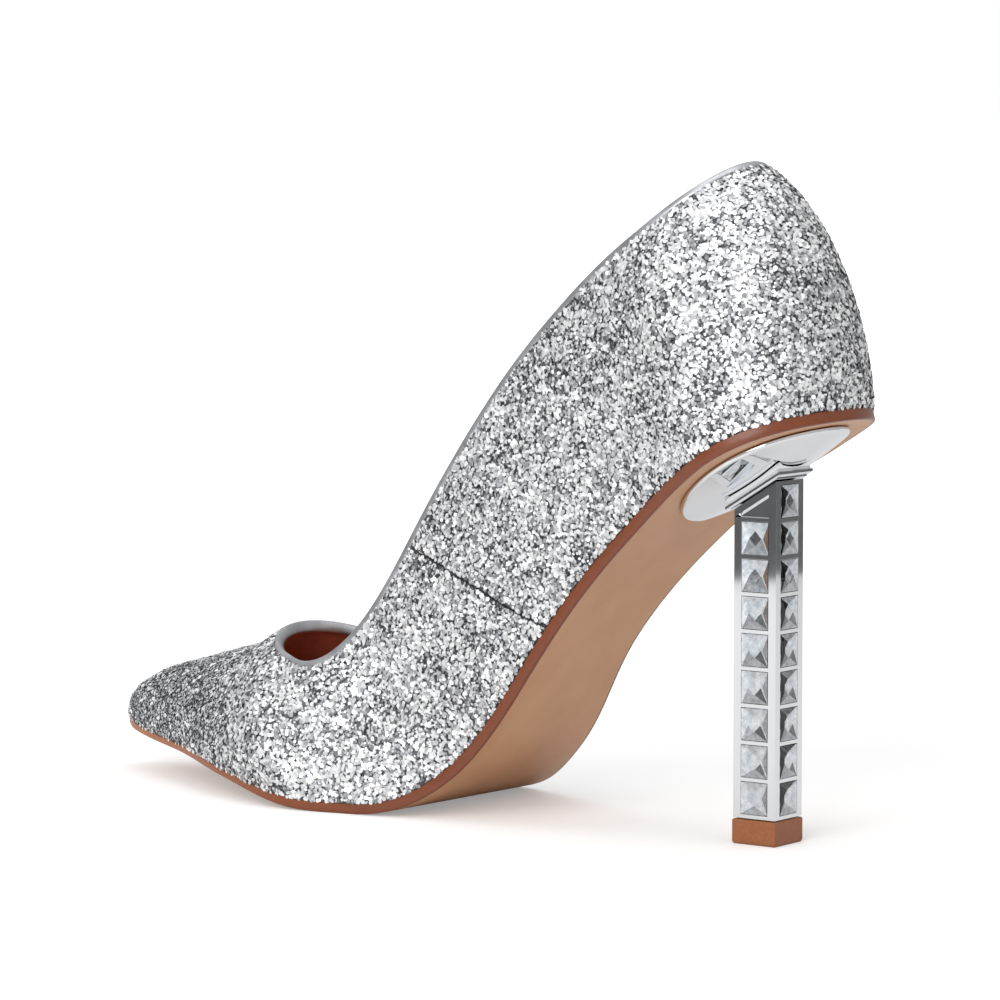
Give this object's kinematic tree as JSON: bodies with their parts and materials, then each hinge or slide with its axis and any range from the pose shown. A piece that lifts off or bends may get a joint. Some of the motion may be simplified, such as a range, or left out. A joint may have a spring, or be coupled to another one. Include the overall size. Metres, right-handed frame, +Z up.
{
  "type": "high heel pump",
  "caption": "Pointed-toe high heel pump with a glitter upper, bound topline, slim outsole and a square metal heel set with square-cut crystals.",
  "frame": {"origin": "centre of the heel tip's ground face", "axes": "+X from the heel towards the toe, +Y to the wearer's left (the outer side of this left shoe), +Z up"},
  "size_m": [0.2262, 0.0667, 0.1579],
  "materials": {
    "vamp_glitter": "chunky silver glitter bonded to a woven backing",
    "quarter_glitter": "chunky silver glitter bonded to a woven backing",
    "binding_metallic": "silver foiled synthetic leather, folded and topstitched",
    "lining_brown": "smooth reddish-brown synthetic leather",
    "stiffener": "thermoplastic-coated nonwoven sheet",
    "insole_board": "pressed cellulose board, unpainted",
    "steel": "plain steel",
    "filler": "needled felt",
    "outsole": "nude synthetic outsole with a painted brown edge",
    "foam": "soft foam",
    "chrome": "bright plated, mirror smooth",
    "crystal": "clear square-cut foiled crystal",
    "top_lift": "brown hard-wearing top-lift, slightly glossy"
  },
  "bodies": {
    "root": {"vamp": "vamp_glitter", "quarter": "quarter_glitter", "topline_binding": "binding_metallic", "vamp_lining": "lining_brown", "quarter_lining": "lining_brown", "toe_puff": "stiffener", "heel_counter": "stiffener", "insole_board": "insole_board", "shank": "steel", "bottom_filler": "filler", "outsole": "outsole", "heel_pad": "foam", "sock_lining": "lining_brown", "heel_plate": "chrome", "heel_screw": "steel", "shank_rivet_1": "steel", "shank_rivet_2": "steel", "heel_nail_1": "steel", "heel_nail_2": "steel", "heel_nail_3": "steel", "heel_nail_4": "steel", "heel_capital": "chrome", "heel_column": "chrome", "heel_core_tube": "steel", "heel_tip": "top_lift", "heel_tip_pin": "steel", "crystal_back_1": "crystal", "crystal_back_2": "crystal", "crystal_back_3": "crystal", "crystal_back_4": "crystal", "crystal_back_5": "crystal", "crystal_back_6": "crystal", "crystal_back_7": "crystal", "crystal_back_8": "crystal", "crystal_back_9": "crystal", "crystal_outer_1": "crystal", "crystal_outer_2": "crystal", "crystal_outer_3": "crystal", "crystal_outer_4": "crystal", "crystal_outer_5": "crystal", "crystal_outer_6": "crystal", "crystal_outer_7": "crystal", "crystal_outer_8": "crystal", "crystal_front_1": "crystal", "crystal_front_2": "crystal", "crystal_front_3": "crystal", "crystal_front_4": "crystal", "crystal_front_5": "crystal", "crystal_front_6": "crystal", "crystal_front_7": "crystal", "crystal_front_8": "crystal", "crystal_inner_1": "crystal", "crystal_inner_2": "crystal", "crystal_inner_3": "crystal", "crystal_inner_4": "crystal", "crystal_inner_5": "crystal", "crystal_inner_6": "crystal", "crystal_inner_7": "crystal", "crystal_inner_8": "crystal"}
  },
  "joints": []
}
